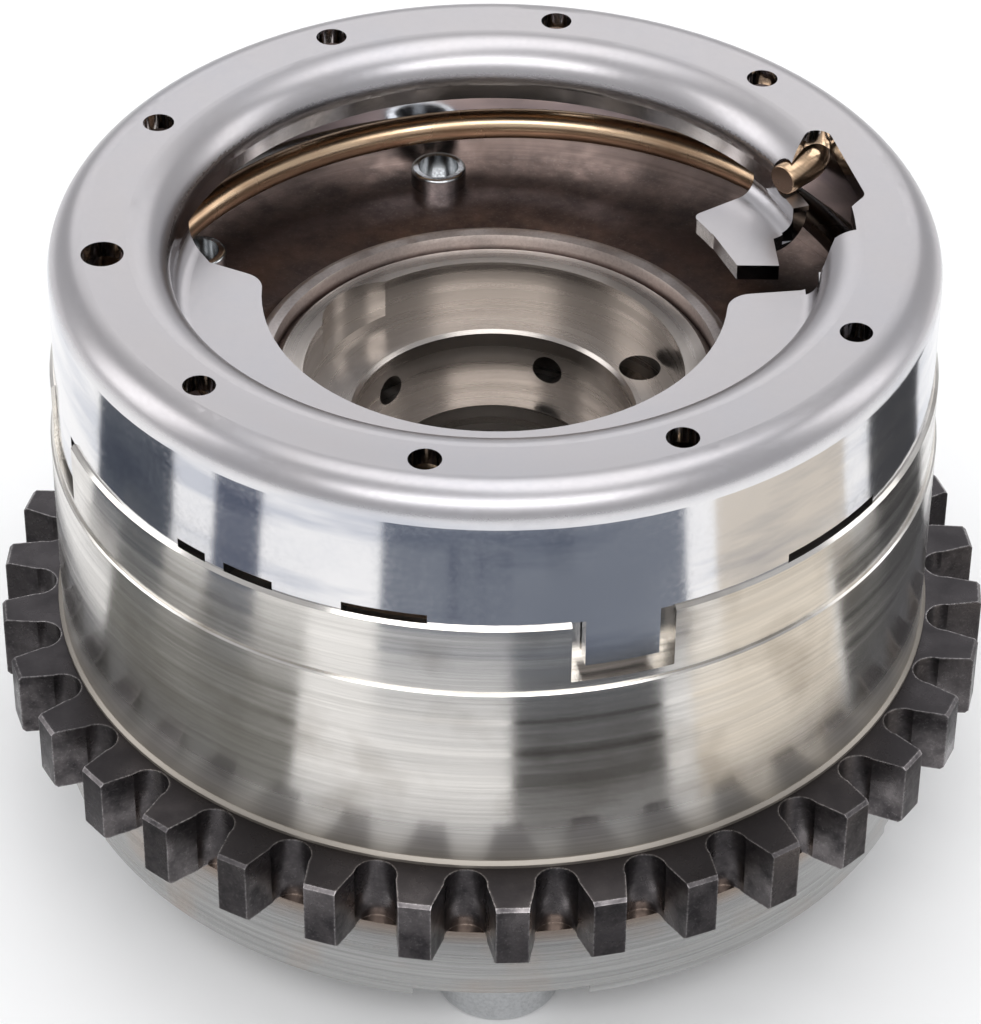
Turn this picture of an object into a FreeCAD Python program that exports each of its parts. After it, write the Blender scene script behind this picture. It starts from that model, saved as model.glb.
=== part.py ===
import FreeCAD, Part
import math
import os
from FreeCAD import Vector

os.makedirs("parts", exist_ok=True)

# Heights above the plane the bolt heads stand on, and thicknesses
boltHeadHeight = 8.0
spotfaceDepth = 1.0
rearThickness = 8.8
sprocketThickness = 6.4
chamberDepth = 18.3
frontThickness = 3.5
rimRise = 4.0
stepDrop = 6.8
coverRise = 13.0
rearLevel = boltHeadHeight - spotfaceDepth
sprocketLevel = rearLevel + rearThickness
drumLevel = sprocketLevel + sprocketThickness
frontLevel = drumLevel + chamberDepth
frontTop = frontLevel + frontThickness
drumRimHeight = frontTop + rimRise
drumStepHeight = drumRimHeight - stepDrop
coverHeight = drumRimHeight + coverRise

# Clearances shared by the fits
slip = 0.05
seat = 0.3
over = 1.0

# Drum with five inward lobes
drumRadius = 39.5
bandStep = 0.3
drumBandRadius = drumRadius - bandStep
footStep = 0.35
drumFootRadius = drumRadius + footStep
drumFootHeight = 0.6
drumEdge = 0.3
chamberRadius = 35.0
lobeCount = 5
lobeStart = -91.4
lobeHalfAngle = 12.5
lobePitch = 360.0 / lobeCount
rimWall = 2.8
plateSeatRadius = drumBandRadius - rimWall
chamberCorner = 1.2

# Spring cover: pressed sheet ring with a skirt, rolled inner edge, flange and four tabs
sheet = 1.5
coverStep = 0.4
coverRadius = drumBandRadius - coverStep
coverCorner = 3.1
coverRoll = 3.7
coverRimWidth = 10.6
coverInner = coverRadius - coverRimWidth
lipDrop = 5.1
coverLipHeight = coverHeight - lipDrop
flangeDrop = 7.1
flangeHeight = coverHeight - flangeDrop
flangeInner = 20.4
flangeBend = 1.5
flangeCorner = 2.4
flangeBlend = 0.3
holeInset = 4.8
holeCircle = coverRadius - holeInset
holeRadius = 1.4
largeHoleRadius = 1.85
holeCount = 10
holeStart = 152.7
holeSkipped = 4
holeLarge = 9
notchDepth = 4.6
notchFloor = coverHeight - notchDepth
notchOutline = [(22.0, -2.6), (22.0, 9.4), (25.96, 11.4), (28.0, 15.6), (29.75, 15.0), (32.35, 5.0),
                (30.5, 2.6), (29.3, -0.5), (28.4, -2.6)]
notchCorner = 1.2
windowStart = -0.5
windowEnd = 20.0
flangeOpening = [(0.0, -3.0), (19.0, -0.5), (45.0, 3.0), (45.0, 45.0), (-45.0, 45.0), (-29.5, 11.5),
                 (-25.2, 4.0), (-19.0, 1.0)]
tongueOutline = [(17.5, 11.9), (24.9, 17.0), (28.4, 10.9), (24.8, 8.5), (25.1, 4.3), (21.4, 4.3), (19.5, 9.0)]
tongueInner = 21.4
tongueCorner = 0.8
tabStart = -73.9
tabHalfAngle = 4.7
tabCount = 4
tabReach = 4.7
tabLow = drumRimHeight - tabReach
tabGap = 1.3
tabGapAngle = 1.8
reliefHeight = 0.8
reliefSpans = [(-132.3, -127.7), (-124.8, -117.7), (-108.5, -97.8), (-50.9, -34.5)]

# Clamp bolts
boltCircle = 30.6
boltStart = -88.4
boltShankRadius = 3.0
boltHoleRadius = 3.3
boltHeadRadius = 6.2
boltNeckRadius = 5.6
boltWasher = 1.8
boltEdge = 0.9
boltSocketRadius = 2.6
boltSocketDepth = 3.2
boltLobes = 6
boltEnd = 43.0
spotfaceRadius = 7.7

# Sprocket for a toothed chain of 8 mm pitch
toothCount = 34
toothStart = -140.4
toothTipRadius = 45.0
toothTipHalf = 1.4
toothFlankRadius = 42.0
toothFlankHalf = 2.05
toothRootRadius = 40.05
toothChamfer = 0.45
sprocketBore = 17.8

# Rear plate with fine steps round its edge
rearRadius = 40.4
rearUpperRadius = 41.0
rearMiddleRadius = 40.75
rearUpperStep = 3.0
rearMiddleStep = 2.2
rearBore = 18.1
rearEdge = 0.3

# Front plate with a raised collar
collarInner = 20.0
collarWall = 1.75
collarRise = 2.2
collarTop = frontTop + collarRise
collarFoot = 1.6

# Rotor: hub, five vanes, stepped bores and oil ways
rotorHubRadius = 20.4
rotorRise = 1.2
rotorTop = frontTop + rotorRise
rotorNose = 6.4
vaneRadius = 34.7
vaneHalfAngle = 6.5
wideVaneHalfAngle = 13.0
vaneStart = 6.6
wideVane = 2
vaneCorner = 1.4
counterRadius = 17.0
counterDepth = 4.6
counterFloor = rotorTop - counterDepth
portRadius = 12.6
portFloor = 34.2
valveRadius = 9.8
camRadius = 12.5
camDepth = 11.6
boreChamfer = 0.3
hubEdge = 0.4
journalEdge = 0.8
oilRadius = 1.45
oilStart = 67.0
oilUpper = 36.9
oilLower = 29.0
oilLowerShift = 21.6
pocketRadius = 1.8
pocketHalf = 3.0
pocketCircle = 21.0
scallopRadius = 6.0
scallopCentre = 12.3
scallopAngle = 141.0
scallopFloor = 41.4
ledgeHoleRadius = 1.9
ledgeHoleCircle = 15.0
ledgeHoleAngle = 28.0
ledgeHoleDepth = 6.0

# Vane seals and the bowed strips behind them
sealSlotWidth = 2.0
sealSlotFloor = 31.0
sealThickness = 2.4
sealSide = 0.04
stripThickness = 0.3
stripWidth = 1.5
stripEnd = 1.2

# Lock pin, its spring, its plug and the bush it engages
lockCircle = 27.2
lockPinRadius = 3.55
lockPinLength = 9.0
lockPinBlind = 2.2
lockPinFloor = 3.0
lockPinEdge = 0.4
lockPlugRadius = 4.5
lockPlugThickness = 3.0
lockVentRadius = 0.8
lockWire = 0.35
lockCoilRadius = 1.6
lockTurns = 6
lockRest = 0.1
bushInner = 3.75
bushOuter = 5.2
bushDepth = 4.6

# Round wire return spring
wireRadius = 1.4
coilGap = 2.5
coilRadius = coverRadius - sheet - coilGap - wireRadius
coilRise = 1.6
coilLow = frontTop + coilRise
coilDrop = 3.1
coilHigh = coverHeight - coilDrop
coilHighAngle = 28.2
coilSweep = 639.8
coilSteps = 37
legInner = 24.5
legBend = 4.0
tipLength = 5.5
tipHeading = 45.0
tipBend = 2.6
bendSteps = 4

# Spring arm on the rotor hub
armFootInner = 17.8
armFootOuter = 19.4
armFootHalf = 17.0
armAngle = -52.0
armLift = 1.9
armThickness = 1.9
armGap = 2.8
armReach = coilRadius - wireRadius - armGap
armHalf = 5.6
armRoot = 8.5
earThickness = 1.8
earDrop = 2.8
earDepth = 4.4
earStart = 24.2
rivetRadius = 0.7
rivetDepth = 3.0
rivetAngle = 12.0

# Posts beside the spring, and the camshaft dowel
postRadius = 2.6
postBore = 1.9
postBoreDepth = 2.0
postInset = 0.8
postCircle = coilRadius - postInset
postRise = 1.7
postTop = frontTop + postRise
postDepth = 2.0
postEdge = 0.3
postAngles = [99.6, 147.0]
dowelRadius = 1.4
dowelCircle = 14.7
dowelLow = 3.6
dowelHigh = 12.0
dowelAngle = -40.0


def polar(radius, degrees, z=0.0):
    turn = math.radians(degrees)
    return Vector(radius * math.cos(turn), radius * math.sin(turn), z)


def disc(radius, low, high, x=0.0, y=0.0):
    return Part.makeCylinder(radius, high - low, Vector(x, y, low))


def discAt(radius, low, high, circle, degrees):
    centre = polar(circle, degrees)
    return disc(radius, low, high, centre.x, centre.y)


def ring(outer, inner, low, high):
    return disc(outer, low, high).cut(disc(inner, low - over, high + over))


def sector(inner, outer, first, last, low, high):
    middle = (first + last) / 2.0
    outside = [polar(outer, angle, low) for angle in (first, middle, last)]
    inside = [polar(inner, angle, low) for angle in (last, middle, first)]
    edges = [Part.Arc(outside[0], outside[1], outside[2]).toShape()]
    edges.append(Part.makeLine(outside[2], inside[0]))
    edges.append(Part.Arc(inside[0], inside[1], inside[2]).toShape())
    edges.append(Part.makeLine(inside[2], outside[0]))
    return Part.Face(Part.Wire(edges)).extrude(Vector(0, 0, high - low))


def prism(points, low, high):
    corners = [Vector(x, y, low) for x, y in points]
    corners.append(corners[0])
    return Part.Face(Part.makePolygon(corners)).extrude(Vector(0, 0, high - low))


def radialBlock(inner, outer, halfWidth, degrees, low, high):
    block = Part.makeBox(outer - inner, 2 * halfWidth, high - low, Vector(inner, -halfWidth, low))
    block.rotate(Vector(0, 0, 0), Vector(0, 0, 1), degrees)
    return block


def revolved(edges):
    return Part.Face(Part.Wire(edges)).revolve(Vector(0, 0, 0), Vector(0, 0, 1), 360)


def at(radius, z):
    return Vector(radius, 0, z)


def line(first, last):
    return Part.makeLine(first, last)


def bend(centre, radius, first, last):
    middle = math.radians((first + last) / 2.0)
    first = math.radians(first)
    last = math.radians(last)
    points = []
    for turn in (first, middle, last):
        points.append(at(centre.x + radius * math.cos(turn), centre.z + radius * math.sin(turn)))
    return Part.Arc(points[0], points[1], points[2]).toShape()


def joined(shapes):
    result = shapes[0]
    for shape in shapes[1:]:
        result = result.fuse(shape)
    return result


def circleEdges(shape, radius, z):
    found = []
    for edge in shape.Edges:
        if not isinstance(edge.Curve, Part.Circle):
            continue
        if abs(edge.Curve.Radius - radius) < 0.01 and abs(edge.Curve.Center.z - z) < 0.01:
            found.append(edge)
    return found


def chamfered(shape, size, rims):
    edges = []
    for radius, z in rims:
        edges.extend(circleEdges(shape, radius, z))
    return shape.makeChamfer(size, edges)


def rounded(shape, size, rims):
    edges = []
    for radius, z in rims:
        edges.extend(circleEdges(shape, radius, z))
    return shape.makeFillet(size, edges)


def verticalEdges(shape, radius, low, high):
    found = []
    for edge in shape.Edges:
        box = edge.BoundBox
        upright = box.ZLength > 1.0 and box.XLength < 0.01 and box.YLength < 0.01
        reach = math.hypot(box.Center.x, box.Center.y)
        if upright and abs(reach - radius) < 0.05 and low < box.Center.z < high:
            found.append(edge)
    return found


def save(shape, name):
    shape.exportStep("parts/" + name + ".step")


def coverShell():
    cornerCentre = at(coverRadius - coverCorner, coverHeight - coverCorner)
    rollCentre = at(coverInner + coverRoll, coverHeight - coverRoll)
    skirtInner = coverRadius - sheet
    innerRoll = coverRoll - sheet
    edges = [line(at(coverRadius, drumRimHeight), at(coverRadius, cornerCentre.z))]
    edges.append(bend(cornerCentre, coverCorner, 0, 90))
    edges.append(line(at(cornerCentre.x, coverHeight), at(rollCentre.x, coverHeight)))
    edges.append(bend(rollCentre, coverRoll, 90, 180))
    edges.append(line(at(coverInner, rollCentre.z), at(coverInner, coverLipHeight)))
    edges.append(line(at(coverInner, coverLipHeight), at(coverInner + sheet, coverLipHeight)))
    edges.append(line(at(coverInner + sheet, coverLipHeight), at(coverInner + sheet, rollCentre.z)))
    edges.append(bend(rollCentre, innerRoll, 180, 90))
    edges.append(line(at(rollCentre.x, coverHeight - sheet), at(cornerCentre.x, coverHeight - sheet)))
    edges.append(bend(cornerCentre, coverCorner - sheet, 90, 0))
    edges.append(line(at(skirtInner, cornerCentre.z), at(skirtInner, drumRimHeight)))
    edges.append(line(at(skirtInner, drumRimHeight), at(coverRadius, drumRimHeight)))
    return revolved(edges)


def coverFlange():
    centre = at(coverInner - flangeBend, flangeHeight + flangeBend)
    low = flangeHeight - sheet
    top = coverLipHeight + flangeBlend
    outer = flangeBend + sheet
    edges = [line(at(coverInner, top), at(coverInner, centre.z))]
    edges.append(bend(centre, flangeBend, 0, -90))
    edges.append(line(at(centre.x, flangeHeight), at(flangeInner, flangeHeight)))
    edges.append(line(at(flangeInner, flangeHeight), at(flangeInner, low)))
    edges.append(line(at(flangeInner, low), at(centre.x, low)))
    edges.append(bend(centre, outer, -90, 0))
    edges.append(line(at(coverInner + sheet, centre.z), at(coverInner + sheet, top)))
    edges.append(line(at(coverInner + sheet, top), at(coverInner, top)))
    whole = revolved(edges)
    flange = whole.cut(prism(flangeOpening, low - over, top + over))
    flange = flange.makeFillet(flangeCorner, verticalEdges(flange, flangeInner, low, flangeHeight))
    tongue = whole.common(prism(tongueOutline, low - over, top + over))
    tongue = tongue.cut(disc(tongueInner, low - over, top))
    tongue = tongue.makeFillet(tongueCorner, verticalEdges(tongue, tongueInner, low, flangeHeight))
    return flange, tongue


def coverNotch():
    notch = prism(notchOutline, notchFloor, coverHeight + over)
    corners = []
    for x, y in notchOutline[3:6]:
        corners.extend(verticalEdges(notch, math.hypot(x, y), notchFloor, coverHeight + over))
    notch = notch.makeFillet(notchCorner, corners)
    window = sector(coverInner - over, coverInner + 2 * sheet, windowStart, windowEnd,
                    flangeHeight - over, coverHeight)
    outward = polar(1.0, tipHeading)
    start = tipPoints()[0] - outward * over
    slot = Part.makeCylinder(wireRadius + seat, tipLength + 2 * over, start, outward)
    return joined([notch, window, slot])


def springCover():
    flange, tongue = coverFlange()
    cover = coverShell().fuse(flange).fuse(tongue).cut(coverNotch())
    for first, last in reliefSpans:
        cover = cover.cut(sector(coverRadius - sheet - over, coverRadius + over, first, last,
                                 drumRimHeight - over, drumRimHeight + reliefHeight))
    for index in range(tabCount):
        middle = tabStart + index * 360.0 / tabCount
        tab = sector(coverRadius - sheet, coverRadius, middle - tabHalfAngle, middle + tabHalfAngle,
                     tabLow, drumRimHeight + over)
        cover = cover.fuse(tab)
    for index in range(holeCount):
        if index == holeSkipped:
            continue
        radius = largeHoleRadius if index == holeLarge else holeRadius
        angle = holeStart - index * 360.0 / holeCount
        cover = cover.cut(discAt(radius, coverHeight - 2 * sheet, coverHeight + over, holeCircle, angle))
    return cover.removeSplitter()


def lobeSectors(low, high):
    lobes = []
    for index in range(lobeCount):
        first = lobeStart + index * lobePitch - lobeHalfAngle
        last = first + 2 * lobeHalfAngle
        lobes.append(sector(rotorHubRadius + slip, chamberRadius + over, first, last, low, high))
    return lobes


def boltHoles(radius, low, high):
    angles = [boltStart + index * lobePitch for index in range(lobeCount)]
    return joined([discAt(radius, low, high, boltCircle, angle) for angle in angles])


def chamberVoid():
    low = drumLevel - over
    void = disc(chamberRadius, low, frontLevel + over)
    for lobe in lobeSectors(low - over, frontLevel + 2 * over):
        void = void.cut(lobe)
    corners = verticalEdges(void, chamberRadius, low, frontLevel + over)
    return void.makeFillet(chamberCorner, corners)


def drum():
    body = disc(drumRadius, drumLevel, drumStepHeight)
    body = body.fuse(disc(drumBandRadius, drumStepHeight, drumRimHeight))
    foot = disc(drumFootRadius, drumLevel, drumLevel + drumFootHeight)
    body = body.fuse(foot)
    rims = [(drumFootRadius, drumLevel + drumFootHeight), (drumBandRadius, drumRimHeight)]
    body = chamfered(body, drumEdge, rims)
    body = chamfered(body, drumEdge / 2.0, [(drumRadius, drumStepHeight)])
    body = body.cut(disc(plateSeatRadius, frontLevel, drumRimHeight + over))
    body = body.cut(chamberVoid())
    for index in range(tabCount):
        middle = tabStart + index * 360.0 / tabCount
        reach = tabHalfAngle + tabGapAngle
        inner = coverRadius - sheet - seat
        body = body.cut(sector(inner, drumRadius + over, middle - reach, middle + reach,
                               tabLow - tabGap, drumRimHeight + over))
    return body.cut(boltHoles(boltHoleRadius, drumLevel - over, frontLevel + over))


def toothOutline():
    pitch = 360.0 / toothCount
    flankTurn = math.degrees(toothFlankHalf / toothFlankRadius)
    tipTurn = math.degrees(toothTipHalf / toothTipRadius)
    edges = []
    for index in range(toothCount):
        middle = toothStart + index * pitch
        rise = polar(toothFlankRadius, middle - flankTurn)
        first = polar(toothTipRadius, middle - tipTurn)
        last = polar(toothTipRadius, middle + tipTurn)
        fall = polar(toothFlankRadius, middle + flankTurn)
        nextRise = polar(toothFlankRadius, middle + pitch - flankTurn)
        edges.append(Part.makeLine(rise, first))
        edges.append(Part.makeLine(first, last))
        edges.append(Part.makeLine(last, fall))
        edges.append(Part.Arc(fall, polar(toothRootRadius, middle + pitch / 2.0), nextRise).toShape())
    return Part.Wire(edges)


def chainSprocket():
    teeth = Part.Face(toothOutline()).extrude(Vector(0, 0, sprocketThickness))
    teeth.translate(Vector(0, 0, sprocketLevel))
    blankRadius = toothTipRadius + toothChamfer / 3.0
    blank = disc(blankRadius, sprocketLevel, drumLevel)
    blank = chamfered(blank, toothChamfer, [(blankRadius, sprocketLevel), (blankRadius, drumLevel)])
    body = teeth.common(blank).cut(disc(sprocketBore, sprocketLevel - over, drumLevel + over))
    body = body.cut(boltHoles(boltHoleRadius, sprocketLevel - over, drumLevel + over))
    return body.cut(discAt(bushOuter, drumLevel - bushDepth, drumLevel + over, lockCircle, wideVaneAngle()))


def rearPlate():
    upper = sprocketLevel - rearUpperStep
    middle = upper - rearMiddleStep
    body = disc(rearUpperRadius, upper, sprocketLevel)
    body = body.fuse(disc(rearMiddleRadius, middle, upper))
    body = body.fuse(disc(rearRadius, rearLevel, middle))
    body = chamfered(body, rearEdge, [(rearRadius, rearLevel)])
    body = body.cut(disc(rearBore, rearLevel - over, sprocketLevel + over))
    body = body.cut(boltHoles(boltHoleRadius, rearLevel - over, sprocketLevel + over))
    for index in range(lobeCount):
        angle = boltStart + index * lobePitch
        face = discAt(spotfaceRadius, rearLevel - over, rearLevel + spotfaceDepth, boltCircle, angle)
        body = body.cut(face)
        body = body.cut(radialBlock(boltCircle, rearUpperRadius + over, spotfaceRadius, angle,
                                    rearLevel - over, rearLevel + spotfaceDepth))
    return body


def frontPlate():
    body = disc(plateSeatRadius, frontLevel, frontTop)
    collar = disc(collarInner + collarWall, frontTop - over, collarTop)
    body = body.fuse(collar)
    body = rounded(body, collarWall / 2.0 - slip, [(collarInner + collarWall, collarTop)])
    foot = circleEdges(body, collarInner + collarWall, frontTop)
    body = body.makeFillet(collarFoot, foot)
    body = body.cut(disc(collarInner, frontLevel - over, collarTop + over))
    body = body.cut(boltHoles(boltShankRadius, frontLevel - over, boltEnd))
    for angle in postAngles:
        body = body.cut(discAt(postRadius, frontTop - postDepth, frontTop + over, postCircle, angle))
    return body


def clampBolt(index):
    head = disc(boltNeckRadius, 0, boltHeadHeight)
    head = rounded(head, boltEdge, [(boltNeckRadius, 0)])
    washer = disc(boltHeadRadius, boltHeadHeight - boltWasher, boltHeadHeight)
    washer = chamfered(washer, boltEdge / 2.0, [(boltHeadRadius, boltHeadHeight - boltWasher)])
    shank = disc(boltShankRadius, boltHeadHeight - over, boltEnd)
    bolt = joined([head, washer, shank])
    bolt = bolt.cut(disc(boltSocketRadius, -over, boltSocketDepth))
    for lobe in range(boltLobes):
        bolt = bolt.cut(discAt(boltSocketRadius / 4.0, -over, boltSocketDepth,
                               boltSocketRadius, lobe * 360.0 / boltLobes))
    bolt.translate(polar(boltCircle, boltStart + index * lobePitch))
    return bolt


def vaneAngle(index):
    return vaneStart + index * lobePitch


def wideVaneAngle():
    return vaneAngle(wideVane)


def rotorBody():
    low = drumLevel + slip
    high = frontLevel - slip
    parts = [disc(rotorHubRadius, low, high)]
    for index in range(lobeCount):
        half = wideVaneHalfAngle if index == wideVane else vaneHalfAngle
        middle = vaneAngle(index)
        vane = sector(counterRadius, vaneRadius, middle - half, middle + half, low, high)
        parts.append(vane.makeFillet(vaneCorner, verticalEdges(vane, vaneRadius, low, high)))
    parts.append(disc(collarInner - slip, high - over, rotorTop))
    parts.append(disc(sprocketBore - slip, rotorNose, low + over))
    body = joined(parts)
    body = chamfered(body, journalEdge, [(collarInner - slip, rotorTop)])
    return chamfered(body, hubEdge, [(sprocketBore - slip, rotorNose)])


def rotorBores():
    bores = [disc(valveRadius, rotorNose - over, rotorTop + over)]
    bores.append(disc(camRadius, rotorNose - over, rotorNose + camDepth))
    bores.append(disc(portRadius, portFloor, rotorTop + over))
    bores.append(disc(counterRadius, counterFloor, rotorTop + over))
    return joined(bores)


def hubPockets():
    bores = [discAt(scallopRadius, scallopFloor, rotorTop + over, scallopCentre, scallopAngle)]
    bores.append(discAt(ledgeHoleRadius, counterFloor - ledgeHoleDepth, counterFloor + over,
                        ledgeHoleCircle, ledgeHoleAngle))
    return joined(bores)


def oilWay(radius, angle, z):
    start = polar(valveRadius - over, angle, z)
    return Part.makeCylinder(radius, rotorHubRadius + over - valveRadius + over, start, polar(1.0, angle))


def oilWays():
    ways = []
    for index in range(lobeCount):
        upper = oilStart + (index - 1) * lobePitch
        lower = upper + oilLowerShift
        ways.append(oilWay(oilRadius, upper, oilUpper))
        ways.append(discAt(pocketRadius, oilUpper - pocketHalf, oilUpper + pocketHalf, pocketCircle, upper))
        if index == wideVane:
            continue
        ways.append(oilWay(oilRadius, lower, oilLower))
    return joined(ways)


def rotor():
    body = rotorBody().cut(rotorBores())
    body = chamfered(body, boreChamfer, [(portRadius, counterFloor), (camRadius, rotorNose)])
    body = body.cut(hubPockets()).cut(oilWays())
    low = drumLevel - over
    high = frontLevel + over
    for index in range(lobeCount):
        slot = radialBlock(sealSlotFloor, vaneRadius + over, sealSlotWidth / 2.0, vaneAngle(index), low, high)
        body = body.cut(slot)
    plugLow = frontLevel - slip - lockPlugThickness
    angle = wideVaneAngle()
    body = body.cut(discAt(lockPinRadius + slip, low, plugLow + over, lockCircle, angle))
    body = body.cut(discAt(lockPlugRadius, plugLow, high, lockCircle, angle))
    body = body.cut(discAt(dowelRadius, rotorNose - over, dowelHigh, dowelCircle, dowelAngle))
    for side in (-1, 1):
        body = body.cut(discAt(rivetRadius, rotorTop - rivetDepth, rotorTop + over,
                               (armFootInner + armFootOuter) / 2.0, armAngle + side * rivetAngle))
    return body


def vaneSeal(index):
    outer = chamberRadius - slip
    low = drumLevel + 2 * slip
    high = frontLevel - 2 * slip
    halfWidth = sealSlotWidth / 2.0 - sealSide
    seal = radialBlock(outer - sealThickness, outer + over, halfWidth, vaneAngle(index), low, high)
    return seal.common(disc(outer, low, high))


def sealStrip(index):
    low = drumLevel + stripEnd
    high = frontLevel - stripEnd
    middle = (low + high) / 2.0
    outer = chamberRadius - slip - sealThickness - slip
    inner = sealSlotFloor + slip
    y = -stripWidth / 2.0
    ends = [Vector(outer, y, low), Vector(outer, y, high)]
    backs = [Vector(outer - stripThickness, y, low), Vector(outer - stripThickness, y, high)]
    outside = Part.Arc(ends[0], Vector(inner + stripThickness, y, middle), ends[1]).toShape()
    inside = Part.Arc(backs[1], Vector(inner, y, middle), backs[0]).toShape()
    upper = line(ends[1], backs[1])
    lower = line(backs[0], ends[0])
    strip = Part.Face(Part.Wire([outside, upper, inside, lower])).extrude(Vector(0, stripWidth, 0))
    strip.rotate(Vector(0, 0, 0), Vector(0, 0, 1), vaneAngle(index))
    return strip


def lockPin():
    low = drumLevel + lockRest
    high = low + lockPinLength
    pin = disc(lockPinRadius, low, high)
    pin = chamfered(pin, lockPinEdge, [(lockPinRadius, low)])
    pin = pin.cut(disc(lockPinBlind, low + lockPinFloor, high + over))
    pin.translate(polar(lockCircle, wideVaneAngle()))
    return pin


def lockPlug():
    low = frontLevel - slip - lockPlugThickness
    plug = disc(lockPlugRadius, low, frontLevel - slip)
    plug = plug.cut(disc(lockVentRadius, low - over, frontLevel + over))
    plug.translate(polar(lockCircle, wideVaneAngle()))
    return plug


def lockSpring():
    low = drumLevel + lockRest + lockPinFloor + lockWire
    high = frontLevel - slip - lockPlugThickness - lockWire
    helix = Part.makeHelix((high - low) / lockTurns, high - low, lockCoilRadius)
    section = Part.Wire([Part.makeCircle(lockWire, Vector(lockCoilRadius, 0, 0), Vector(0, 1, 0))])
    coil = Part.Wire(helix.Edges).makePipeShell([section], True, True)
    coil.translate(Vector(0, 0, low) + polar(lockCircle, wideVaneAngle()))
    return coil


def lockBush():
    bush = ring(bushOuter, bushInner, drumLevel - bushDepth, drumLevel)
    bush.translate(polar(lockCircle, wideVaneAngle()))
    return bush


def tipPoints():
    corner = polar(coilRadius, coilHighAngle, coilHigh)
    return corner - polar(tipLength, tipHeading), corner


def bentCorner(first, corner, last):
    points = []
    for step in range(1, bendSteps):
        share = float(step) / bendSteps
        points.append(first * (1 - share) ** 2 + corner * (2 * share * (1 - share)) + last * share ** 2)
    return points


def springPath():
    tip, corner = tipPoints()
    start = corner - polar(tipBend, tipHeading)
    turnIn = math.degrees(tipBend / coilRadius)
    turnOut = math.degrees(legBend / coilRadius)
    fall = (coilHigh - coilLow) / coilSweep
    coil = []
    for step in range(coilSteps + 1):
        turned = turnIn + (coilSweep - turnIn - turnOut) * step / coilSteps
        coil.append(polar(coilRadius, coilHighAngle + turned, coilHigh - fall * turned))
    points = [tip, (tip + start) * 0.5, start]
    points.extend(bentCorner(start, corner, coil[0]))
    points.extend(coil)
    legAngle = coilHighAngle + coilSweep
    inside = polar(coilRadius - legBend, legAngle, coilLow)
    points.extend(bentCorner(coil[-1], polar(coilRadius, legAngle, coilLow), inside))
    for radius in (coilRadius - legBend, (coilRadius - legBend + legInner) / 2.0, legInner):
        points.append(polar(radius, legAngle, coilLow))
    return points


def biasSpring():
    points = springPath()
    lengths = [0.0]
    for first, last in zip(points, points[1:]):
        lengths.append(lengths[-1] + first.distanceToPoint(last))
    curve = Part.BSplineCurve()
    curve.interpolate(Points=points, Parameters=lengths)
    path = Part.Wire([curve.toShape()])
    section = Part.Wire([Part.makeCircle(wireRadius, points[0], polar(1.0, tipHeading))])
    sweep = Part.BRepOffsetAPI.MakePipeShell(path)
    sweep.setBiNormalMode(Vector(0, 0, 1))
    sweep.add(section, False, False)
    sweep.build()
    sweep.makeSolid()
    return sweep.shape()


def springArm():
    low = rotorTop + armLift
    high = low + armThickness
    foot = sector(armFootInner, armFootOuter, armAngle - armFootHalf, armAngle + armFootHalf, rotorTop, high)
    outline = [(armFootInner, -armRoot), (armReach, -armHalf), (armReach, armHalf), (armFootInner, armRoot)]
    plate = prism(outline, low, high)
    plate = plate.makeFillet(armHalf / 2.0, verticalEdges(plate, math.hypot(armReach, armHalf), low, high))
    plate.rotate(Vector(0, 0, 0), Vector(0, 0, 1), armAngle)
    plate = plate.cut(disc(armFootInner, low - over, high + over))
    parts = [foot, plate]
    near = wireRadius + 2 * slip
    for y in (near, -near - earThickness):
        ear = Part.makeBox(earDepth, earThickness, earDrop + over, Vector(earStart, y, low - earDrop))
        ear.rotate(Vector(0, 0, 0), Vector(0, 0, 1), armAngle)
        parts.append(ear)
    return joined(parts).removeSplitter()


def armRivet(side):
    circle = (armFootInner + armFootOuter) / 2.0
    return discAt(rivetRadius, rotorTop - rivetDepth, rotorTop, circle, armAngle + side * rivetAngle)


def springPost(angle):
    post = disc(postRadius, frontTop - postDepth, postTop)
    post = rounded(post, postEdge, [(postRadius, postTop)])
    post = post.cut(disc(postBore, postTop - postBoreDepth, postTop + over))
    post.translate(polar(postCircle, angle))
    return post


def camDowel():
    pin = disc(dowelRadius, dowelLow, dowelHigh)
    pin = chamfered(pin, dowelRadius / 4.0, [(dowelRadius, dowelLow)])
    pin.translate(polar(dowelCircle, dowelAngle))
    return pin


save(springCover(), "spring_cover")
save(drum(), "housing_drum")
save(chainSprocket(), "chain_sprocket")
save(rearPlate(), "rear_plate")
save(frontPlate(), "front_plate")
save(biasSpring(), "bias_spring")
save(lockBush(), "lock_bush")
save(rotor(), "rotor")
save(springArm().fuse(armRivet(-1)).fuse(armRivet(1)), "spring_arm")
save(camDowel(), "camshaft_dowel")
save(lockPin(), "lock_pin")
save(lockSpring(), "lock_spring")
save(lockPlug(), "lock_plug")
for number in range(lobeCount):
    save(clampBolt(number), "clamp_bolt_" + str(number + 1))
    save(vaneSeal(number), "vane_seal_" + str(number + 1))
    save(sealStrip(number), "seal_strip_" + str(number + 1))
for number, angle in enumerate(postAngles):
    save(springPost(angle), "spring_post_" + str(number + 1))
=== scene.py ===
import bpy
import bmesh
import math
from mathutils import Matrix, Vector


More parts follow.
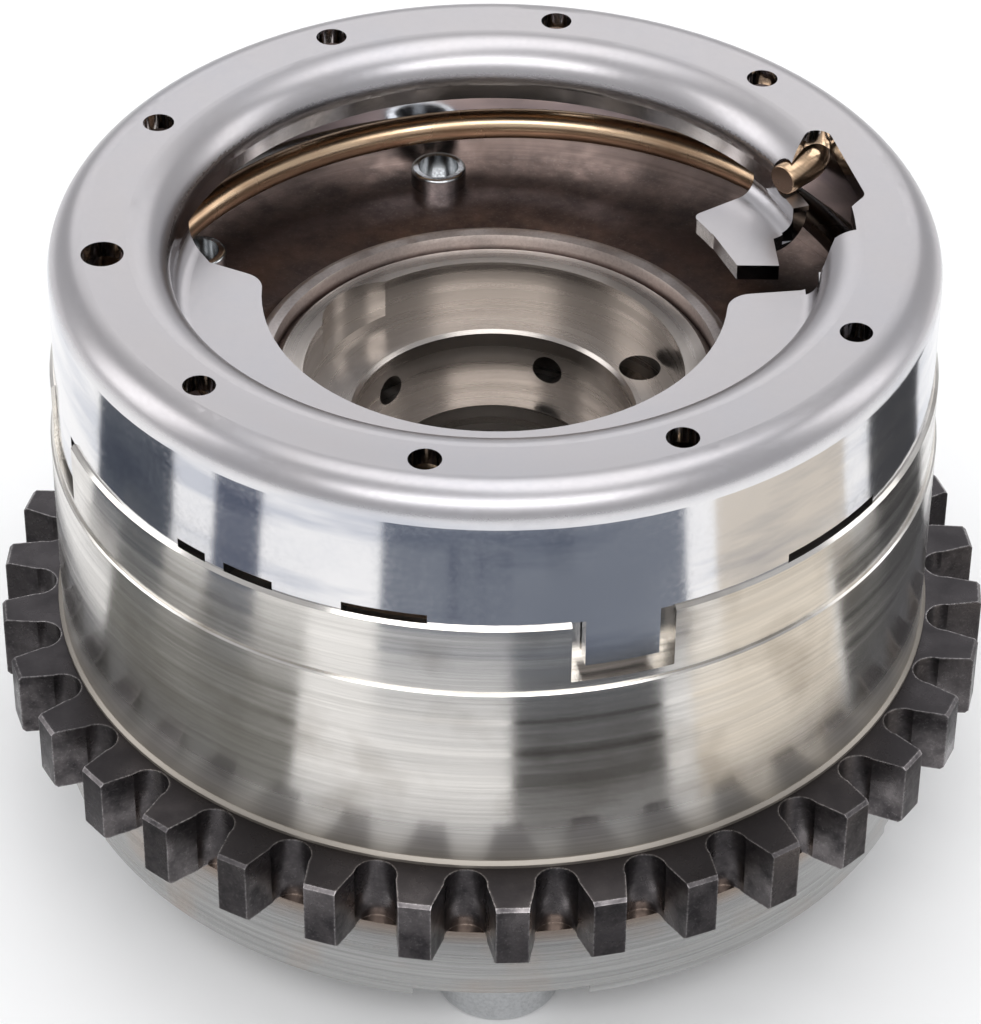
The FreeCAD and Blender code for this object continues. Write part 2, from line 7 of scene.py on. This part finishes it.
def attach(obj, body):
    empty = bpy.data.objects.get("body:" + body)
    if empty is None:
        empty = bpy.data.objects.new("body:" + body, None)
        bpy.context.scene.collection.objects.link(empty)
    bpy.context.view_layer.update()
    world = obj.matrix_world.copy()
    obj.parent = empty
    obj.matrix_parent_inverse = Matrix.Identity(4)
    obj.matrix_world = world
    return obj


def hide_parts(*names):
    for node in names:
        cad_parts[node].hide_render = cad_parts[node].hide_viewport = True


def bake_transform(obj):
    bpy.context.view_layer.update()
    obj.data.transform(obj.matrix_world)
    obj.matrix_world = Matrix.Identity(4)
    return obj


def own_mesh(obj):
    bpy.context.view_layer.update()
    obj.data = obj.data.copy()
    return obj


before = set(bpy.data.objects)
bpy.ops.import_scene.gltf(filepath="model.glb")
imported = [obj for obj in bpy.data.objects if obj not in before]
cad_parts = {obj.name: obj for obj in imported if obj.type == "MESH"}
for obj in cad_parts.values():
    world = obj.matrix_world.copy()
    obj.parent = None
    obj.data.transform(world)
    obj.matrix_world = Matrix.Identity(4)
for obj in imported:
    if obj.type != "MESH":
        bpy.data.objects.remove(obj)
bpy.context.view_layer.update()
print("packed parts loaded:", len(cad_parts))

mm = 0.001  # the dictionaries give lengths in mm, but those of the floor's size, lamps and camera in metres


# node graph helpers: each takes a material's node tree, and most give back an output socket

def newMaterial(name):
    material = bpy.data.materials.new(name)
    material.use_nodes = True
    tree = material.node_tree
    tree.nodes.clear()
    shader = tree.nodes.new("ShaderNodeBsdfPrincipled")
    output = tree.nodes.new("ShaderNodeOutputMaterial")
    tree.links.new(shader.outputs["BSDF"], output.inputs["Surface"])
    return material, tree, shader


def feed(tree, socket, value):
    if isinstance(value, bpy.types.NodeSocket):
        tree.links.new(value, socket)
    else:
        socket.default_value = value


def calc(tree, operation, first, second=0.0):
    node = tree.nodes.new("ShaderNodeMath")
    node.operation = operation
    for socket, value in zip(node.inputs, (first, second)):
        feed(tree, socket, value)
    return node.outputs[0]


def remap(tree, value, fromLow, fromHigh, toLow, toHigh):
    node = tree.nodes.new("ShaderNodeMapRange")
    for socket, item in zip(node.inputs, (value, fromLow, fromHigh, toLow, toHigh)):
        feed(tree, socket, item)
    return node.outputs[0]


def combine(tree, x, y, z):
    node = tree.nodes.new("ShaderNodeCombineXYZ")
    for socket, value in zip(node.inputs, (x, y, z)):
        feed(tree, socket, value)
    return node.outputs[0]


def dotProduct(tree, first, second):
    node = tree.nodes.new("ShaderNodeVectorMath")
    node.operation = "DOT_PRODUCT"
    feed(tree, node.inputs[0], first)
    feed(tree, node.inputs[1], second)
    return node.outputs["Value"]


def noise(tree, vector, scale, detail, roughness):
    node = tree.nodes.new("ShaderNodeTexNoise")
    feed(tree, node.inputs["Vector"], vector)
    node.inputs["Scale"].default_value = scale
    node.inputs["Detail"].default_value = detail
    node.inputs["Roughness"].default_value = roughness
    return node.outputs["Fac"]


def blendColours(tree, factor, first, second):
    node = tree.nodes.new("ShaderNodeMix")
    node.data_type = "RGBA"
    feed(tree, node.inputs["Factor"], factor)
    feed(tree, node.inputs["A"], first if isinstance(first, bpy.types.NodeSocket) else (*first, 1))
    feed(tree, node.inputs["B"], second if isinstance(second, bpy.types.NodeSocket) else (*second, 1))
    return node.outputs["Result"]


def bump(tree, height, distance, under=None):
    node = tree.nodes.new("ShaderNodeBump")
    node.inputs["Distance"].default_value = distance
    node.inputs["Strength"].default_value = 1.0
    feed(tree, node.inputs["Height"], height)
    if under is not None:
        tree.links.new(under, node.inputs["Normal"])
    return node.outputs["Normal"]


def places(tree):
    # position in mm, distance from the turning axis, height, and the way round as a unit vector's parts
    coordinates = tree.nodes.new("ShaderNodeTexCoord")
    scale = tree.nodes.new("ShaderNodeVectorMath")
    scale.operation = "SCALE"
    scale.inputs["Scale"].default_value = 1 / mm
    tree.links.new(coordinates.outputs["Object"], scale.inputs[0])
    split = tree.nodes.new("ShaderNodeSeparateXYZ")
    tree.links.new(scale.outputs[0], split.inputs[0])
    x, y, z = split.outputs
    squares = calc(tree, "ADD", calc(tree, "MULTIPLY", x, x), calc(tree, "MULTIPLY", y, y))
    radius = calc(tree, "SQRT", squares)
    return {"position": scale.outputs[0], "radius": radius, "z": z,
            "turnX": calc(tree, "DIVIDE", x, radius), "turnY": calc(tree, "DIVIDE", y, radius)}


def alongPath(tree, place, stretch, heightShare=1.27):
    # a place that changes slowly round the axis and fast across it, for turning marks
    across = calc(tree, "ADD", place["radius"], calc(tree, "MULTIPLY", place["z"], heightShare))
    turnX = calc(tree, "MULTIPLY", place["turnX"], stretch)
    turnY = calc(tree, "MULTIPLY", place["turnY"], stretch)
    return combine(tree, turnX, turnY, across)


def trueNormal(tree):
    return tree.nodes.new("ShaderNodeNewGeometry").outputs["Normal"]


def edgeMask(tree, reach, lean):
    # 1 on worn outer edges, from how far a rounded normal leans away from the true one
    rounded = tree.nodes.new("ShaderNodeBevel")
    rounded.samples = 6
    rounded.inputs["Radius"].default_value = reach
    return remap(tree, dotProduct(tree, rounded.outputs[0], trueNormal(tree)), 1.0, 1.0 - lean, 0.0, 1.0)


def levelMask(tree, low, high):
    # 1 on faces that lie flat, 0 on upright walls
    split = tree.nodes.new("ShaderNodeSeparateXYZ")
    tree.links.new(trueNormal(tree), split.inputs[0])
    return remap(tree, calc(tree, "ABSOLUTE", split.outputs[2]), low, high, 0.0, 1.0)


def facing(tree, direction, low, high):
    # 1 on faces that look along the direction
    return remap(tree, dotProduct(tree, trueNormal(tree), direction), low, high, 0.0, 1.0)


# finishes: a noise is (scale per mm, detail, roughness), four numbers are a range to map from and one to map
# to, and waves, lines, grain and pores are heights in mm

noiseMiddle = (0.3, 0.7)  # where most values of a noise lie

pressedSteel = {"mirror": (0.78, 0.77, 0.77), "satin": (0.50, 0.48, 0.49), "hazeAndReflection": (0.44, 0.46, 0.52),
                "roughness": (0.09, 0.31), "waves": 0.14, "grain": 0.0012, "flatFaces": (0.04, 0.42),
                "cloudNoise": (0.07, 4.0, 0.55), "smearNoise": (0.16, 4.0, 0.6), "smearStretch": 9.0,
                "speckNoise": (2.2, 5.0, 0.65), "fineNoise": (9.0, 2.0, 0.6), "swellNoise": (0.11, 1.0, 0.4),
                "swellStretch": 5.0, "handled": (0.42, 0.70, 0.0, 0.25),
                "handledSpecks": (0.3, 0.6, 0.6, 1.0), "paintedReflection": (0.46, 0.64, 0.0, 0.8), "paintedReflectionOnFlats": 0.1,
                "speckRoughness": (0.4, 0.7, 0.0, 0.06)}


def makePressedSteel(name, values):
    # walls stay mirror smooth from the die, flat faces are satin; handling marks and painted reflection
    # smears tint the colour bluish
    material, tree, shader = newMaterial(name)
    place = places(tree)
    satin = levelMask(tree, *values["flatFaces"])
    clouds = noise(tree, place["position"], *values["cloudNoise"])
    smears = noise(tree, alongPath(tree, place, values["smearStretch"]), *values["smearNoise"])
    specks = noise(tree, place["position"], *values["speckNoise"])
    steel = blendColours(tree, satin, values["mirror"], values["satin"])
    handled = calc(tree, "MULTIPLY", remap(tree, clouds, *values["handled"]),
                   remap(tree, specks, *values["handledSpecks"]))
    # painted reflection: bluish smears, mostly on the walls, stand in for what the skirt mirrors
    paintedReflection = calc(tree, "MULTIPLY", remap(tree, smears, *values["paintedReflection"]),
                remap(tree, satin, 0.0, 1.0, 1.0, values["paintedReflectionOnFlats"]))
    marks = calc(tree, "MAXIMUM", paintedReflection, handled)
    feed(tree, shader.inputs["Base Color"], blendColours(tree, marks, steel, values["hazeAndReflection"]))
    polish = remap(tree, satin, 0.0, 1.0, *values["roughness"])
    speckle = remap(tree, specks, *values["speckRoughness"])
    feed(tree, shader.inputs["Roughness"], calc(tree, "ADD", polish, speckle))
    fine = noise(tree, place["position"], *values["fineNoise"])
    swell = noise(tree, alongPath(tree, place, values["swellStretch"]), *values["swellNoise"])
    waves = bump(tree, swell, values["waves"] * mm)
    feed(tree, shader.inputs["Normal"], bump(tree, fine, values["grain"] * mm, waves))
    shader.inputs["Metallic"].default_value = 1.0
    return material


# the brown is full from the first of its heights on and gone at the second: painted shade at the drum's foot
# next to the sprocket, a brown band under the sprocket on the rear plate, and oil all over the rotor
drumSteel = {"light": (0.76, 0.735, 0.70), "dark": (0.50, 0.48, 0.45), "brown": (0.24, 0.205, 0.165),
             "roughness": (0.14, 0.23), "lines": 0.0028, "oilHeights": (22.2, 26.0),
             "footHeights": (23.0, 31.0), "footRoughness": 0.46}
rearPlateSteel = {"light": (0.43, 0.43, 0.425), "dark": (0.25, 0.25, 0.245), "brown": (0.42, 0.32, 0.25),
                  "roughness": (0.18, 0.30), "lines": 0.007, "oilHeights": (15.8, 14.2)}
rotorMetal = {"light": (0.74, 0.74, 0.74), "dark": (0.52, 0.52, 0.52), "brown": (0.44, 0.39, 0.35),
              "roughness": (0.20, 0.36), "lines": 0.006, "oilHeights": (0.0, -1.0)}  # oiled all over
turningMarks = {"ringNoise": (3.0, 5.0, 0.7), "ringStretch": 0.6, "ringShade": (0.38, 0.70, 0.0, 0.7),
                "bandNoise": (0.7, 2.0, 0.5), "bandStretch": 0.35, "cloudNoise": (0.12, 3.0, 0.55),
                "cloudOil": (0.50, 0.70, 0.0, 0.4), "oilShare": 0.8, "smear": 0.55, "smearTurn": 0.25}


def makeTurnedSteel(name, values, marks):
    material, tree, shader = newMaterial(name)
    place = places(tree)
    rings = noise(tree, alongPath(tree, place, marks["ringStretch"]), *marks["ringNoise"])
    bands = noise(tree, alongPath(tree, place, marks["bandStretch"]), *marks["bandNoise"])
    clouds = noise(tree, place["position"], *marks["cloudNoise"])
    steel = blendColours(tree, remap(tree, rings, *marks["ringShade"]), values["light"], values["dark"])
    # random oil clouds, and the brown set by height, which is painted shade at the drum's foot
    oil = calc(tree, "MAXIMUM", remap(tree, clouds, *marks["cloudOil"]),
               remap(tree, place["z"], *values["oilHeights"], marks["oilShare"], 0.0))
    feed(tree, shader.inputs["Base Color"], blendColours(tree, oil, steel, values["brown"]))
    roughness = remap(tree, bands, *noiseMiddle, *values["roughness"])
    if "footHeights" in values:  # oil leaves the foot of the wall dull
        dull = remap(tree, place["z"], *values["footHeights"], values["footRoughness"], 0.0)
        roughness = calc(tree, "MAXIMUM", dull, roughness)
    feed(tree, shader.inputs["Roughness"], roughness)
    feed(tree, shader.inputs["Normal"], bump(tree, rings, values["lines"] * mm))
    around = tree.nodes.new("ShaderNodeTangent")
    around.axis = "Z"
    tree.links.new(around.outputs["Tangent"], shader.inputs["Tangent"])
    shader.inputs["Anisotropic"].default_value = marks["smear"]  # turning marks smear what they mirror
    shader.inputs["Anisotropic Rotation"].default_value = marks["smearTurn"]
    shader.inputs["Metallic"].default_value = 1.0
    return material


# the sprocket's flat faces are darkened with painted shade
sprocketSteel = {"dark": (0.048, 0.044, 0.047), "brown": (0.185, 0.170, 0.172), "bright": (0.62, 0.59, 0.59),
                 "roughness": (0.20, 0.44), "pores": 0.006, "wearReach": 0.30, "wearLean": 0.22,
                 "wearPores": (0.40, 0.62, 0.15, 0.85), "flatFaces": (0.85, 0.97), "flatPaintedShade": 0.9}
# the front plate is near black by the cover's window: painted shade
frontPlateSteel = {"dark": (0.130, 0.100, 0.096), "brown": (0.280, 0.210, 0.195),
                   "bright": (0.74, 0.68, 0.66), "oil": (0.012, 0.010, 0.010), "roughness": (0.28, 0.44),
                   "pores": 0.004, "lipHeights": (44.6, 45.2), "lipPores": (0.3, 0.6, 0.75, 1.0),
                   "oilRadii": (24.0, 27.0, 0.0, 0.9), "oilSide": (0.82, 0.92)}
oxideMarks = {"cloudNoise": (0.30, 5.0, 0.6), "cloudTone": (0.35, 0.65, 0.0, 1.0),
              "poreNoise": (3.2, 4.0, 0.7), "porePoints": (0.55, 0.80, 0.0, 0.25)}


def makeOxideSteel(name, values, marks, addCoat):
    # porous steel under a dark oxide; the coat function puts the worn edges of the sprocket, the lighter lip
    # of the front plate and the painted shade of both on its colour
    material, tree, shader = newMaterial(name)
    place = places(tree)
    clouds = noise(tree, place["position"], *marks["cloudNoise"])
    pores = noise(tree, place["position"], *marks["poreNoise"])
    oxide = blendColours(tree, remap(tree, clouds, *marks["cloudTone"]), values["dark"], values["brown"])
    speckled = blendColours(tree, remap(tree, pores, *marks["porePoints"]), oxide, values["bright"])
    feed(tree, shader.inputs["Base Color"], addCoat(tree, place, pores, speckled, values))
    smooth, rough = values["roughness"]
    feed(tree, shader.inputs["Roughness"], remap(tree, clouds, *noiseMiddle, rough, smooth))
    feed(tree, shader.inputs["Normal"], bump(tree, pores, values["pores"] * mm))
    shader.inputs["Metallic"].default_value = 1.0
    return material


def sprocketWearAndShade(tree, place, pores, coat, values):
    # edges rubbed bright, and flat faces darkened with painted shade
    wear = calc(tree, "MULTIPLY", edgeMask(tree, values["wearReach"] * mm, values["wearLean"]),
                remap(tree, pores, *values["wearPores"]))
    flat = calc(tree, "MULTIPLY", levelMask(tree, *values["flatFaces"]), values["flatPaintedShade"])
    return blendColours(tree, wear, blendColours(tree, flat, coat, values["dark"]), values["bright"])


def frontPlateLipAndShade(tree, place, pores, coat, values):
    # the raised lip lighter, and painted shade near black under the cover's window
    lip = remap(tree, place["z"], *values["lipHeights"], 0.0, 1.0)
    lipLighter = calc(tree, "MULTIPLY", lip, remap(tree, pores, *values["lipPores"]))
    # painted shade: near black by the cover's window
    oil = calc(tree, "MULTIPLY", remap(tree, place["radius"], *values["oilRadii"]),
               remap(tree, place["turnX"], *values["oilSide"], 0.0, 1.0))
    return blendColours(tree, oil, blendColours(tree, lipLighter, coat, values["bright"]), values["oil"])


springWire = {"light": (0.82, 0.62, 0.42), "dark": (0.46, 0.30, 0.19), "oiled": (0.06, 0.045, 0.035),
              "sheared": (0.13, 0.085, 0.06), "roughness": (0.20, 0.32), "grain": 0.0015,
              "drawnNoise": (1.6, 3.0, 0.6), "drawnStretch": 1.4, "cloudNoise": (0.16, 3.0, 0.5),
              "tone": (0.75, 1.30, 0.0, 1.0), "grainNoise": (5.0, 3.0, 0.6), "oilHeights": (52.5, 54.6),
              "oilSide": (0.70, 0.80), "tipDirection": (-0.7071, -0.7071, 0.0), "tipFaces": (0.93, 0.98),
              "tipRadii": (28.6, 28.9)}


def makeWireSteel(name, values):
    # painted shade low down on the side of the cover's window, and dark on the sheared face of the tip
    material, tree, shader = newMaterial(name)
    place = places(tree)
    drawn = noise(tree, alongPath(tree, place, values["drawnStretch"]), *values["drawnNoise"])
    clouds = noise(tree, place["position"], *values["cloudNoise"])
    tone = remap(tree, calc(tree, "ADD", drawn, clouds), *values["tone"])
    clean = blendColours(tree, tone, values["light"], values["dark"])
    # painted shade: dark low down on the window's side
    oil = calc(tree, "MULTIPLY", remap(tree, place["z"], *values["oilHeights"], 1.0, 0.0),
               remap(tree, place["turnX"], *values["oilSide"], 0.0, 1.0))
    tip = calc(tree, "MULTIPLY", facing(tree, values["tipDirection"], *values["tipFaces"]),
               remap(tree, place["radius"], *values["tipRadii"], 1.0, 0.0))
    coat = blendColours(tree, tip, blendColours(tree, oil, clean, values["oiled"]), values["sheared"])
    feed(tree, shader.inputs["Base Color"], coat)
    feed(tree, shader.inputs["Roughness"], remap(tree, clouds, *noiseMiddle, *values["roughness"]))
    grain = noise(tree, place["position"], *values["grainNoise"])
    feed(tree, shader.inputs["Normal"], bump(tree, grain, values["grain"] * mm))
    shader.inputs["Metallic"].default_value = 1.0
    return material


zincPlate = {"light": (0.60, 0.61, 0.62), "dark": (0.46, 0.47, 0.48), "roughness": (0.13, 0.24),
             "grain": 0.001, "metallic": 1.0}
hardSteel = {"light": (0.55, 0.55, 0.56), "dark": (0.36, 0.36, 0.37), "roughness": (0.18, 0.30),
             "grain": 0.002, "metallic": 1.0}
sealPlastic = {"light": (0.060, 0.052, 0.045), "dark": (0.030, 0.026, 0.024), "roughness": (0.40, 0.58),
               "grain": 0.006, "metallic": 0.0}
evenMarks = {"grainNoise": (3.0, 5.0, 0.65), "tone": (0.4, 0.7, 0.0, 1.0)}


def makeEvenFinish(name, values, marks):
    material, tree, shader = newMaterial(name)
    grain = noise(tree, places(tree)["position"], *marks["grainNoise"])
    tone = remap(tree, grain, *marks["tone"])
    feed(tree, shader.inputs["Base Color"], blendColours(tree, tone, values["light"], values["dark"]))
    feed(tree, shader.inputs["Roughness"], remap(tree, grain, *noiseMiddle, *values["roughness"]))
    feed(tree, shader.inputs["Normal"], bump(tree, grain, values["grain"] * mm))
    shader.inputs["Metallic"].default_value = values["metallic"]
    return material


finishes = {
    "spring_cover": makePressedSteel("coverSteel", pressedSteel),
    "housing_drum": makeTurnedSteel("drumSteel", drumSteel, turningMarks),
    "chain_sprocket": makeOxideSteel("sprocketSteel", sprocketSteel, oxideMarks, sprocketWearAndShade),
    "rear_plate": makeTurnedSteel("rearPlateSteel", rearPlateSteel, turningMarks),
    "front_plate": makeOxideSteel("frontPlateSteel", frontPlateSteel, oxideMarks, frontPlateLipAndShade),
    "rotor": makeTurnedSteel("rotorMetal", rotorMetal, turningMarks),
    "spring_arm": makePressedSteel("armSteel", pressedSteel),
    "bias_spring": makeWireSteel("springWire", springWire),
    "clamp_bolt": makeEvenFinish("zincPlate", zincPlate, evenMarks),
    "spring_post": makeEvenFinish("postSteel", zincPlate, evenMarks),
    "vane_seal": makeEvenFinish("sealPlastic", sealPlastic, evenMarks),
    "hardened": makeEvenFinish("hardSteel", hardSteel, evenMarks),
}


def finishFor(node):
    for prefix, material in finishes.items():
        if node.startswith(prefix):
            return material
    return finishes["hardened"]


for node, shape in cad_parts.items():
    shape.data.materials.clear()
    shape.data.materials.append(finishFor(node))
print("finishes on the packed parts:", len(finishes))


# coil springs: a round wire along a path, as one closed mesh

def ringPoint(radius, degrees, height):
    turn = math.radians(degrees)
    return Vector((radius * math.cos(turn), radius * math.sin(turn), height))


def addMesh(name, shape, material):
    mesh = bpy.data.meshes.new(name)
    shape.to_mesh(mesh)
    shape.free()
    mesh.materials.append(material)
    piece = bpy.data.objects.new(name, mesh)
    bpy.context.scene.collection.objects.link(piece)
    return piece


def wireMesh(name, path, wireRadius, edge, sides, material):
    shape = bmesh.new()
    rows = []
    count = len(path)
    for index, point in enumerate(path):
        along = (path[min(index + 1, count - 1)] - path[max(index - 1, 0)]).normalized()
        side = along.cross(Vector((0, 0, 1))).normalized()
        upward = side.cross(along).normalized()
        spots = [(point, wireRadius)]
        if index == 0:
            spots = [(point, wireRadius - edge), (point + along * edge, wireRadius)]
        if index == count - 1:
            spots = [(point - along * edge, wireRadius), (point, wireRadius - edge)]
        for centre, size in spots:
            row = []
            for step in range(sides):
                turn = 2 * math.pi * step / sides
                outward = side * size * math.cos(turn) + upward * size * math.sin(turn)
                row.append(shape.verts.new(centre + outward))
            rows.append(row)
    for first, second in zip(rows, rows[1:]):
        for step in range(sides):
            after = (step + 1) % sides
            shape.faces.new((first[step], first[after], second[after], second[step]))
    shape.faces.new(list(reversed(rows[0])))
    shape.faces.new(rows[-1])
    bmesh.ops.recalc_face_normals(shape, faces=shape.faces)
    piece = addMesh(name, shape, material)
    for face in piece.data.polygons:
        face.use_smooth = len(face.vertices) == 4  # the two end faces stay flat
    return piece


# wire is the wire's radius and edge the bevel at its ends
returnSpring = {"wire": 1.4, "coil": 33.4, "lowHeight": 45.6, "highHeight": 57.9, "tipAngle": 28.2,
                "sweep": 639.8, "legEnd": 24.5, "legBend": 4.0, "tipLength": 5.5, "tipHeading": 45.0,
                "tipBend": 2.6, "edge": 0.12, "stepDegrees": 3.0, "bendSteps": 8, "sides": 28,
                "rotorHeight": 47.2, "housingHeight": 56.4}


def bentCorner(first, corner, last, steps):
    points = []
    for step in range(1, steps):
        share = step / steps
        points.append(first * (1 - share) ** 2 + corner * 2 * share * (1 - share) + last * share ** 2)
    return points


def returnSpringPath(values):
    coil, low, high = values["coil"], values["lowHeight"], values["highHeight"]
    corner = ringPoint(coil, values["tipAngle"], high)
    inward = -ringPoint(1, values["tipHeading"], 0)
    bendStart = corner + inward * values["tipBend"]
    path = [corner + inward * values["tipLength"], bendStart]  # tip that stands in the cover's notch
    turnIn = math.degrees(values["tipBend"] / coil)
    turnOut = values["sweep"] - math.degrees(values["legBend"] / coil)
    steps = int(values["sweep"] / values["stepDegrees"])
    turns = [turnIn + (turnOut - turnIn) * step / steps for step in range(steps + 1)]
    fall = (high - low) / values["sweep"]
    turned = [ringPoint(coil, values["tipAngle"] + turn, high - fall * turn) for turn in turns]
    path.extend(bentCorner(bendStart, corner, turned[0], values["bendSteps"]))
    path.extend(turned)
    legAngle = values["tipAngle"] + values["sweep"]
    legStart = ringPoint(coil - values["legBend"], legAngle, low)
    path.extend(bentCorner(turned[-1], ringPoint(coil, legAngle, low), legStart, values["bendSteps"]))
    path.extend([legStart, ringPoint(values["legEnd"], legAngle, low)])  # leg that the arm holds
    return [point * mm for point in path]


spring = wireMesh("return_spring_wire", returnSpringPath(returnSpring), returnSpring["wire"] * mm,
                  returnSpring["edge"] * mm, returnSpring["sides"], finishes["bias_spring"])
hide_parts("bias_spring")
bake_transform(spring)

pinSpring = {"wire": 0.35, "coil": 1.6, "lowHeight": 25.65, "highHeight": 37.1, "fixedHeight": 37.45,
             "centreCircle": 27.2, "centreAngle": 150.6, "turns": 6, "stepDegrees": 15.0, "sides": 10,
             "edge": 0.05, "travel": 2.5}


def pinSpringPath(values):
    centre = ringPoint(values["centreCircle"], values["centreAngle"], 0)
    steps = int(360 * values["turns"] / values["stepDegrees"])
    rise = values["highHeight"] - values["lowHeight"]
    path = []
    for step in range(steps + 1):
        height = values["lowHeight"] + rise * step / steps
        path.append((centre + ringPoint(values["coil"], values["stepDegrees"] * step, height)) * mm)
    return path


lockCoil = wireMesh("lock_spring_wire", pinSpringPath(pinSpring), pinSpring["wire"] * mm,
                    pinSpring["edge"] * mm, pinSpring["sides"], finishes["hardened"])
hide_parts("lock_spring")
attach(lockCoil, "rotor")
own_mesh(lockCoil)
print("springs made")


# studio: pale floor, soft lamps, and dark and beige floor patches that only metal mirrors

studio = {"floorColour": (0.97, 0.97, 0.97), "floorSize": 3.0, "patchHeight": 1.0, "patchStep": 5,
          "worldStrength": 0.58, "worldColour": (0.97, 0.975, 1.0)}
mattePaper = {"clothNoise": (0.8, 3.0, 0.5), "roughness": (0.75, 0.9), "specular": 0.1}


def makeMatte(name, colour, values):
    material, tree, shader = newMaterial(name)
    cloth = noise(tree, places(tree)["position"], *values["clothNoise"])
    shader.inputs["Base Color"].default_value = (*colour, 1)
    feed(tree, shader.inputs["Roughness"], remap(tree, cloth, *noiseMiddle, *values["roughness"]))
    shader.inputs["Specular IOR Level"].default_value = values["specular"]
    return material


def floorSheet(size, colour):
    shape = bmesh.new()
    half = size / 2
    corners = [(-half, -half), (half, -half), (half, half), (-half, half)]
    shape.faces.new([shape.verts.new((x, y, 0)) for x, y in corners])
    addMesh("floor", shape, makeMatte("floorPaper", colour, mattePaper))


def floorPatch(name, inner, outer, first, last, colour):
    # part of a ring just over the floor; angles in degrees from the viewer's side, anticlockwise from above
    shape = bmesh.new()
    steps = max(2, int(abs(last - first) / studio["patchStep"]))
    rows = []
    for step in range(steps + 1):
        angle = first + (last - first) * step / steps - 90
        ends = [ringPoint(radius, angle, studio["patchHeight"]) * mm for radius in (inner, outer)]
        rows.append([shape.verts.new(end) for end in ends])
    for one, two in zip(rows, rows[1:]):
        shape.faces.new((one[0], one[1], two[1], two[0]))
    patch = addMesh(name, shape, makeMatte(name, colour, mattePaper))
    patch.visible_camera = False
    patch.visible_shadow = False
    patch.visible_diffuse = False
    patch.visible_transmission = False


floorSheet(studio["floorSize"], studio["floorColour"])

patches = [
    {"name": "teeth_shade", "ring": (55, 66), "span": (-180, 180), "colour": (0.12, 0.12, 0.13)},
    {"name": "drum_left", "ring": (60, 90), "span": (-90, -38), "colour": (0.19, 0.188, 0.175)},
    {"name": "drum_front", "ring": (68, 90), "span": (4, 34), "colour": (0.05, 0.048, 0.045)},
    {"name": "drum_beige", "ring": (66, 88), "span": (40, 76), "colour": (0.90, 0.83, 0.73)},
    {"name": "drum_right", "ring": (58, 86), "span": (78, 93), "colour": (0.07, 0.07, 0.068)},
    {"name": "front_haze", "ring": (88, 122), "span": (-23, 41), "colour": (0.18, 0.20, 0.24)},
    {"name": "front_shape", "ring": (98, 108), "span": (-9, 4), "colour": (0.07, 0.085, 0.13)},
    {"name": "front_spot", "ring": (100, 114), "span": (11, 17), "colour": (0.08, 0.095, 0.13)},
    {"name": "left_shade", "ring": (88, 116), "span": (-62, -50), "colour": (0.13, 0.145, 0.19)},
    {"name": "left_dark", "ring": (80, 112), "span": (-101, -74), "colour": (0.07, 0.08, 0.10)},
    {"name": "right_beige", "ring": (88, 118), "span": (48, 84), "colour": (0.68, 0.62, 0.54)},
    {"name": "right_dark", "ring": (58, 118), "span": (93, 118), "colour": (0.06, 0.06, 0.062)},
]
for values in patches:
    floorPatch(values["name"], *values["ring"], *values["span"], values["colour"])

# aim is the height on the turning axis that a lamp faces
lamps = [
    {"name": "top_softbox", "place": (0.05, 0.10, 0.75), "aim": 0.03, "size": (0.60, 0.45), "power": 1.4},
    {"name": "left_softbox", "place": (-0.62, 0.06, 0.36), "aim": 0.03, "size": (0.30, 0.50), "power": 0.9},
    {"name": "right_softbox", "place": (0.60, 0.10, 0.32), "aim": 0.03, "size": (0.22, 0.45), "power": 0.5},
    {"name": "rear_softbox", "place": (0.0, 0.70, 0.45), "aim": 0.05, "size": (0.80, 0.30), "power": 0.7},
    {"name": "front_softbox", "place": (0.0, -0.62, 0.68), "aim": 0.05, "size": (1.0, 0.34), "power": 3.2},
]
for values in lamps:
    data = bpy.data.lights.new(values["name"], "AREA")
    data.shape = "RECTANGLE"
    data.size, data.size_y = values["size"]
    data.energy = values["power"]
    lamp = bpy.data.objects.new(values["name"], data)
    lamp.location = values["place"]
    direction = Vector((0, 0, values["aim"])) - Vector(values["place"])
    lamp.rotation_euler = direction.to_track_quat("-Z", "Y").to_euler()
    bpy.context.scene.collection.objects.link(lamp)

world = bpy.data.worlds.new("studioRoom")
bpy.context.scene.world = world
world.use_nodes = True
background = world.node_tree.nodes["Background"]
background.inputs["Color"].default_value = (*studio["worldColour"], 1)
background.inputs["Strength"].default_value = studio["worldStrength"]
print("studio made")


# camera at the photograph's angle

view = {"tilt": 38.16, "roll": 0.53, "lens": 145.09, "sensor": 36.0, "place": (-0.0002, -0.2960, 0.2619),
        "clipStart": 0.01}
camera = bpy.data.objects.new("camera", bpy.data.cameras.new("camera"))
camera.data.lens = view["lens"]
camera.data.sensor_width = view["sensor"]
camera.data.clip_start = view["clipStart"]
tilt = Matrix.Rotation(math.radians(90 - view["tilt"]), 4, "X")
roll = Matrix.Rotation(math.radians(view["roll"]), 4, "Z")
camera.matrix_world = Matrix.Translation(view["place"]) @ tilt @ roll
bpy.context.scene.collection.objects.link(camera)
bpy.context.scene.camera = camera
bpy.context.scene.view_settings.view_transform = "Standard"
print("camera placed")
